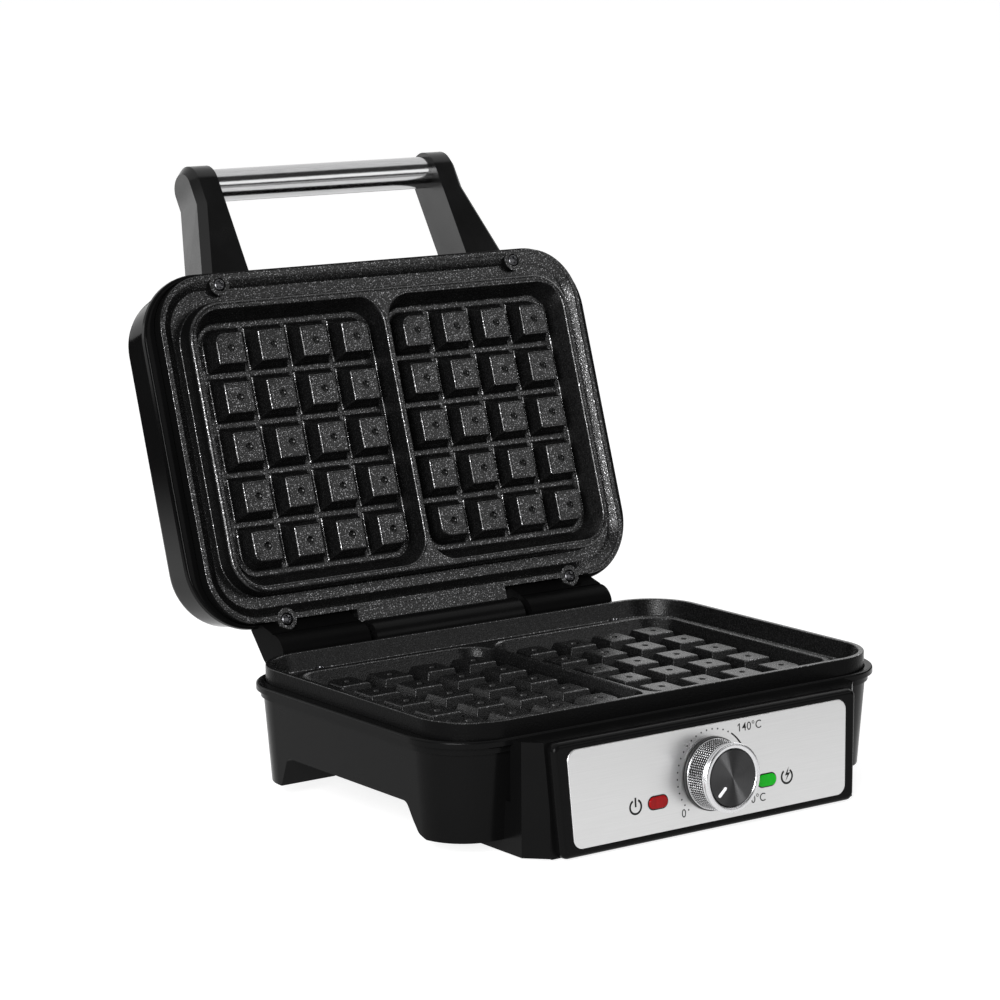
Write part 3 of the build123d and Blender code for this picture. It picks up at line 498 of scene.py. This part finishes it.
def block_spots(place, level, towards):
    """Middle of each block top and the direction it faces. The sign towards is the hinge's side."""
    spots = []
    for sx in (-1, 1):
        for i in range(cols):
            for j in range(rows):
                x = sx * grid_x + (i - (cols - 1) / 2) * pitch
                v = towards * grid_shift + (j - (rows - 1) / 2) * pitch
                spot = place(x, v, level)
                spots.append((spot, (place(x, v, level + 1) - spot).normalized()))
    return spots


def plate_edges(middle, up, out, levels, screws):
    """Test for the edges of a plate at some levels, away from its screws."""
    def fits(p):
        x, v, h = p.x / MM, (p - middle).dot(up) / MM, (p - middle).dot(out) / MM
        if any((x - sx) ** 2 + (v - sv) ** 2 < screw_clear ** 2 for sx, sv in screws):
            return False
        return any(abs(h - level) < edge_fit for level in levels)

    return lambda a, b: fits(a) and fits(b)


def sheet_outline(a, b):
    """Test for the outer front edges of the panel sheet, not those of its openings."""
    for p in (a, b):
        away = p - panel_mid
        if abs(away.dot(panel_out) / MM - sheet_out) > sheet_fit:
            return False
        if abs(p.x) < sheet_inner_x * MM and abs(away.dot(panel_up)) < sheet_inner_y * MM:
            return False
    return True


upper_spots = block_spots(on_lid, crown_up, -1)
lower_spots = block_spots(on_base, crown_low, 1)
upper_place = (lid_mid, lid_up, lid_out)
lower_place = (base_mid, back, sky)
upper_shoulders = (crown_up - block_h, crown_up, ridge_up)
lower_shoulders = (crown_low - block_h, crown_low, ridge_low)
rounded("upper_plate", [
    (shoulder_round, plate_edges(*upper_place, upper_shoulders, upper_screws)),
    (rim_round, plate_edges(*upper_place, (0.0, channel_up), upper_screws)),
], upper_spots)
rounded("lower_plate", [
    (shoulder_round, plate_edges(*lower_place, lower_shoulders, lower_screws)),
    (rim_round, plate_edges(*lower_place, (0.0, seat_low), lower_screws)),
], lower_spots)
rounded("panel_sheet", [(sheet_round, sheet_outline)])


def edged(node, width):
    """A node's own form with all its edges rounded."""
    mesh, bm = opened(node)
    bmesh.ops.dissolve_limit(bm, angle_limit=flat_angle, verts=bm.verts, edges=bm.edges)
    obj = closed(node, mesh, bm)
    bevel = obj.modifiers.new("edges", "BEVEL")
    bevel.width = width * MM
    bevel.segments = 2
    bevel.limit_method = "ANGLE"
    bevel.angle_limit = edge_angle
    bevel.use_clamp_overlap = True
    even_shading(obj)


for node, width in (
    ("base_housing", 0.6),
    ("lid_housing", 0.5),
    ("handle_arm_left", 0.8),
    ("handle_arm_right", 0.8),
    ("panel_frame", 0.4),
    ("hinge_ear_left", 0.6),
    ("hinge_ear_right", 0.6),
):
    edged(node, width)


def cups(bm, spots):
    """Small round pits with a raised middle, set in the holes of the block tops."""
    outline = (
        (mark_r, 0.0), (1.82, -0.08), (1.45, -0.36), (1.08, -0.68),
        (0.84, -0.78), (0.62, -0.74), (0.36, -0.52), (0.12, -0.42),
    )
    for spot, axis in spots:
        lines = [row_at(bm, spot, axis, round_points(r * MM, mark_steps), h * MM) for r, h in outline]
        skin(bm, lines)
        bm.faces.new(lines[-1]).smooth = True


# Pits with the darker look, as painted shade
joined("upper_block_marks", "lid", pit_gloss_and_shade_look, lambda bm: cups(bm, upper_spots))
joined("lower_block_marks", "base", pit_gloss_and_shade_look, lambda bm: cups(bm, lower_spots))


# Print on the panel, and dark lines of painted shade round the lenses
def strip(bm, points, width):
    """Flat printed line through points of the panel, each with its own width if given."""
    pairs = []
    for k, (x, y) in enumerate(points):
        ax, ay = points[max(k - 1, 0)]
        bx, by = points[min(k + 1, len(points) - 1)]
        a = atan2(by - ay, bx - ax) + pi / 2
        w = (width[k] if isinstance(width, list) else width) / 2
        pairs.append([bm.verts.new(on_panel(x + s * w * cos(a), y + s * w * sin(a), ink_h)) for s in (1, -1)])
    for (a, b), (c, d) in zip(pairs, pairs[1:]):
        bm.faces.new((a, b, d, c))


def arc(cx, cy, r, start, end, steps=40):
    """Points along an arc, its angles in degrees."""
    angles = [radians(start + (end - start) * k / steps) for k in range(steps + 1)]
    return [(cx + r * cos(a), cy + r * sin(a)) for a in angles]


def area(bm, points):
    """Flat printed area inside points of the panel."""
    bm.faces.new([bm.verts.new(on_panel(x, y, ink_h)) for x, y in points])


def lens_gap_shade_lines(bm):
    """Dark line on the sheet round each lens: painted shade of the gap between the lens and the sheet."""
    half, r, line = 2.6, 3.05, 0.65
    for x in (-lens_x, lens_x):
        points = arc(x + half, lens_y, r, -90, 90, 16) + arc(x - half, lens_y, r, 90, 270, 16)
        strip(bm, points + points[:2], line)


def dial_marks(bm):
    """Row of dots up to the low mark, and the line from there that grows wider to the high mark."""
    dots, first, step, dot_ring, dot_r = 19, 224.8, 9.12, 20.8, 0.42
    for k in range(dots):
        a = radians(first - step * k)
        area(bm, [(dot_ring * cos(a) + x, dot_ring * sin(a) + y) for x, y in round_points(dot_r, 16)])
    line_ring, line_from, line_to, steps = 20.9, 55, -44, 60
    thin, growth = 0.7, 0.9
    widths = [thin + growth * k / steps for k in range(steps + 1)]
    strip(bm, arc(0, 0, line_ring, line_from, line_to, steps), widths)


def symbols(bm):
    """Power sign beside the red lens, and a ring with a flash beside the green one."""
    power_x, power_y, ready_x, ready_y = -45.5, -8.3, 44.9, -8.4
    bar_top, bar_foot = -4.0, -8.4
    strip(bm, arc(power_x, power_y, sign_r, 118, 422), sign_line)
    strip(bm, [(power_x, bar_top), (power_x, bar_foot)], sign_line)
    strip(bm, arc(ready_x, ready_y, sign_r, 124, 416), sign_line)
    area(bm, [(46.2, -3.9), (43.7, -7.9), (45.3, -7.7), (43.9, -10.7), (47.0, -6.7), (45.4, -6.8)])


# Painted shade round the lenses, in the look of the print
joined("lens_gap_shade_lines", "base", print_and_gap_shade_ink, lens_gap_shade_lines)
joined("dial_scale_marks", "base", print_and_gap_shade_ink, dial_marks)
joined("lamp_symbols", "base", print_and_gap_shade_ink, symbols)


def islands(bm):
    """Groups of vertices that edges join."""
    left = set(bm.verts)
    found = []
    while left:
        island, todo = set(), [left.pop()]
        while todo:
            vert = todo.pop()
            island.add(vert)
            near = {edge.other_vert(vert) for edge in vert.link_edges} & left
            left -= near
            todo.extend(near)
        found.append(island)
    return found


def flag_ones(mesh):
    """Gives each bare upright stroke of the lettering the flag of a figure 1."""
    bm = bmesh.new()
    bm.from_mesh(mesh)
    strokes = [([v.co.x for v in island], [v.co.y for v in island]) for island in islands(bm)]
    slim, reach, drop, root = 0.25, 0.22, 0.2, 1.2
    for xs, ys in strokes:
        width, height = max(xs) - min(xs), max(ys) - min(ys)
        if width < slim * height:
            x, top = min(xs), max(ys)
            tip, low = x - reach * height, top - drop * height
            flag = ((x, top), (tip, low), (tip, low - width), (x, top - root * width))
            bm.faces.new([bm.verts.new((px, py, 0)) for px, py in flag])
    bm.to_mesh(mesh)
    bm.free()


def lettering(name, text, x, y, spacing=1.0):
    """Flat printed characters on the panel, lower left corner at x, y."""
    curve = bpy.data.curves.new(name + "_curve", "FONT")
    curve.body = text
    curve.size = letter_size * MM
    curve.space_character = spacing
    curve.offset = letter_bold * MM
    source = bpy.data.objects.new(name + "_source", curve)
    scene.collection.objects.link(source)
    bpy.context.view_layer.update()
    mesh = bpy.data.meshes.new_from_object(source.evaluated_get(bpy.context.evaluated_depsgraph_get()))
    bpy.data.objects.remove(source)
    flag_ones(mesh)
    basis = Matrix((side, panel_up, panel_out)).transposed().to_4x4()
    basis.translation = on_panel(x, y, ink_h)
    mesh.transform(basis)
    mesh.name = name
    piece(name, mesh, "base", print_and_gap_shade_ink)


lettering("dial_zero", "0", -19.0, -17.7)
lettering("dial_low", "140°C", 15.7, 17.1, letter_gap)
lettering("dial_high", "210°C", 16.9, -17.7, letter_gap)


# Knob: knurled barrel round the sleeve, polished ring, and a dark barrel inside it that paints shade into the
# knurl valleys
def barrel(h):
    """Radius of the barrel at a height over the sheet."""
    return barrel_r - barrel_taper * (h - barrel_foot) / barrel_long


def ring_row(bm, radii, h):
    """Closed row of vertices round the knob axis, one for each radius, h out from the sheet."""
    made = []
    for k, r in enumerate(radii):
        a = tau * k / len(radii)
        spoke = side * cos(a) + panel_up * sin(a)
        made.append(bm.verts.new(on_panel(0, 0) + spoke * r * MM + panel_out * h * MM))
    return made


def profile(bm, points):
    """Turned form through pairs of radius and height."""
    skin(bm, [ring_row(bm, [r] * knob_steps, h) for r, h in points])


def knurled(bm):
    """Barrel with a small point in the middle of each knurl."""
    lines = []
    for j in range(2 * knurl_rows + 1):
        h = knurl_low + (knurl_high - knurl_low) * j / (2 * knurl_rows)
        radii = [barrel(h) - (0.0 if j % 2 and k % 2 else knurl_deep) for k in range(2 * knurl_round)]
        lines.append(ring_row(bm, radii, h))
    skin(bm, lines, smooth=False)


def sleeve_form(bm):
    """Foot ring, knurled barrel, and polished front ring with the bore behind it."""
    profile(bm, [(13.25, 1.45), (16.35, 1.45), (16.6, 1.7), (16.58, 2.2), (16.2, 2.3)])
    knurled(bm)
    profile(bm, [
        (15.7, 11.6), (15.95, 11.75), (15.95, 12.5), (15.55, 12.7), (15.55, 13.0), (16.0, 13.15),
        (16.28, 13.5), (16.3, 14.2), (16.15, 14.7), (15.7, 15.0), (15.1, 15.1), (14.3, 15.05),
        (13.9, 14.9), (13.6, 14.5), (13.45, 14.2), (13.3, 13.6), (13.25, 1.45),
    ])


def knurl_shade_form(bm):
    """Dark barrel just under the points of the knurl, showing in its valleys as painted shade."""
    profile(bm, [(barrel(h) - knurl_shade_deep, h) for h in (2.25, 5.0, 8.0, 11.65)])


sleeve = joined("knob_sleeve_knurled", "knob", looks["knob_metal"], sleeve_form)
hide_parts("knob_sleeve")
joined("knob_knurl_shade", "knob", knurl_shade_look, knurl_shade_form)


# Screw heads with a cross recess
def cross_head(bm, spot, axis, steps=48):
    """Screw head on a spot, its outline and recess in shares of its radius and height."""
    radius, height = head_r * MM, head_h * MM
    arm, reach = 0.24 * radius, 0.66 * radius
    outline = ((1.0, 0.0), (1.0, 0.35), (0.86, 0.78), (0.72, 0.95))
    lines = [row_at(bm, spot, axis, round_points(r * radius, steps), h * height) for r, h in outline]
    skin(bm, lines)
    star = []
    for k in range(steps):
        a = tau * k / steps
        near = min(abs(((a + pi / 4) % (pi / 2)) - pi / 4), pi / 4)
        r = min(reach, arm / max(sin(near), 1e-6)) if near > 0 else reach
        star.append((r * cos(a), r * sin(a)))
    edge = row_at(bm, spot, axis, star, height)
    foot = row_at(bm, spot, axis, [(0.8 * x, 0.8 * y) for x, y in star], 0.25 * height)
    bridge(bm, lines[-1], edge)
    bridge(bm, edge, foot, smooth=False)
    bm.faces.new(foot)


def lid_screws(bm):
    for x, v in upper_screws:
        cross_head(bm, on_lid(x, v, -head_sunk), lid_out)


def base_screws(bm):
    for x, v in lower_screws:
        cross_head(bm, on_base(x, v, channel_low), sky)


upper_heads = joined("upper_screw_heads", "lid", looks["screw_steel"], lid_screws)
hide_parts("upper_plate_screws")
lower_heads = joined("lower_screw_heads", "base", looks["screw_steel"], base_screws)
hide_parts("lower_plate_screws")


# Floor, world and light, in metres
def shown_to(tree, part):
    """Rays that see the white background: the camera's, and in a part of it mirrored and clear ones."""
    rays = tree.nodes.new("ShaderNodeLightPath").outputs
    mirrored = number_math(tree, "MAXIMUM", rays["Is Glossy Ray"], rays["Is Transmission Ray"])
    within = number_math(tree, "MULTIPLY", mirrored, part)
    return number_math(tree, "MAXIMUM", rays["Is Camera Ray"], within)


def plain(tree, kind, shade, **inputs):
    """Output of a shader of one grey."""
    return add(tree, kind, {"Color": (shade, shade, shade, 1), **inputs}).outputs[0]


def mixed(tree, share, first, second):
    """Output of two shaders, by the share of the second."""
    return add(tree, "ShaderNodeMixShader", {0: share, 1: first, 2: second}).outputs[0]


def floor_look():
    """Pale floor where it is seen, and for other rays a dim one with a painted pool of light under the part.
    """
    mat = bpy.data.materials.new("pale_floor")
    tree, out = new_tree(mat, "ShaderNodeOutputMaterial")
    spots = tree.nodes.new("ShaderNodeTexCoord").outputs["Object"]
    # Painted pool of light: the floor glows round the part for the rays that light and mirror it, strongest
    # within glow_near and gone by glow_far
    glow_mid = (0.03, mid_y - 0.12, 0)
    glow_near, glow_far = 0.20, 0.52
    sweep_near, sweep_far = 0.70, 1.05
    away = vector_math(tree, "DISTANCE", spots, glow_mid)
    painted_pool_strength = map_range(tree, away, glow_near, glow_far, low=0.38, high=0.0, interpolation="SMOOTHSTEP")
    sweep = map_range(tree, away, sweep_near, sweep_far, low=1.0, high=0.0, interpolation="SMOOTHSTEP")
    pale = plain(tree, "ShaderNodeBsdfDiffuse", 0.85)
    white = plain(tree, "ShaderNodeEmission", 1, Strength=1.5)
    dim = plain(tree, "ShaderNodeBsdfDiffuse", 0.06)
    glow = plain(tree, "ShaderNodeEmission", 1, Strength=painted_pool_strength)
    seen = mixed(tree, 0.55, pale, white)
    under = add(tree, "ShaderNodeAddShader", {0: dim, 1: glow}).outputs[0]
    tree.links.new(mixed(tree, shown_to(tree, sweep), under, seen), out.inputs[0])
    return mat


def studio():
    """White where it is seen, and for other rays a dark room that is bright up and to the back."""
    world = bpy.data.worlds.new("studio")
    tree, out = new_tree(world, "ShaderNodeOutputWorld")
    coords = tree.nodes.new("ShaderNodeTexCoord").outputs["Generated"]
    facing = vector_math(tree, "DOT_PRODUCT", coords, (0.0, 0.6, 0.8))
    start, end = 0.39, 0.52
    shade = map_range(tree, facing, start, end, low=0.04, high=0.72, interpolation="SMOOTHSTEP")
    backdrop = map_range(tree, facing, start, end, low=0.0, high=1.0, interpolation="SMOOTHSTEP")
    room = plain(tree, "ShaderNodeBackground", 1, Strength=shade)
    seen = plain(tree, "ShaderNodeBackground", 1, Strength=1.0)
    tree.links.new(mixed(tree, shown_to(tree, backdrop), room, seen), out.inputs[0])
    return world


floor_half = 30
floor_corners = [(sx * floor_half, sy * floor_half, 0) for sx, sy in ((-1, -1), (1, -1), (1, 1), (-1, 1))]
floor_mesh = bpy.data.meshes.new("floor")
floor_mesh.from_pydata(floor_corners, [], [(0, 1, 2, 3)])
floor_mesh.materials.append(floor_look())
floor = bpy.data.objects.new("floor", floor_mesh)
scene.collection.objects.link(floor)
scene.world = studio()


def softbox(name, spot, target, size, power):
    """Rectangular light that faces a target."""
    light = bpy.data.lights.new(name, "AREA")
    light.shape = "RECTANGLE"
    light.size, light.size_y = size
    light.energy = power
    obj = bpy.data.objects.new(name, light)
    scene.collection.objects.link(obj)
    obj.location = spot
    obj.rotation_mode = "QUATERNION"
    obj.rotation_quaternion = (target - Vector(spot)).to_track_quat("-Z", "Y")


middle = Vector((0, mid_y + 0.08, 0.14))
panel_foot = Vector((0, mid_y - 0.1, 0.05))
softbox("key_left", (-1.25, mid_y - 0.95, 0.62), middle, (0.8, 0.9), 42)
softbox("strip_front", (0.92, mid_y - 1.07, 0.72), middle, (1.0, 0.48), 2.6)
softbox("card_low", (0.76, mid_y - 1.16, 0.09), panel_foot, (1.3, 0.2), 0.5)
softbox("back_left", (-0.74, mid_y + 1.22, 0.26), middle, (0.55, 0.5), 1.9)
softbox("fill_right", (1.25, mid_y + 0.2, 0.8), middle, (0.7, 0.7), 4.0)

# Camera at the photograph's view
yaw = radians(36.267)
pitch_down = radians(10.043)
roll = radians(0.339)
forward = Vector((sin(yaw) * cos(pitch_down), cos(yaw) * cos(pitch_down), -sin(pitch_down)))
level_right = Vector((cos(yaw), -sin(yaw), 0))
level_down = -level_right.cross(forward)
right = level_right * cos(roll) + level_down * sin(roll)
down = level_down * cos(roll) - level_right * sin(roll)
cam_data = bpy.data.cameras.new("camera")
cam_data.sensor_width = 36.0
cam_data.lens = 122.7
cam_data.clip_end = 100
cam = bpy.data.objects.new("camera", cam_data)
scene.collection.objects.link(cam)
pose = Matrix((right, -down, -forward)).transposed().to_4x4()
pose.translation = (-0.9782, mid_y - 1.2795, rim_z + 0.3618)
cam.matrix_world = pose
scene.camera = cam
scene.view_settings.view_transform = "Standard"
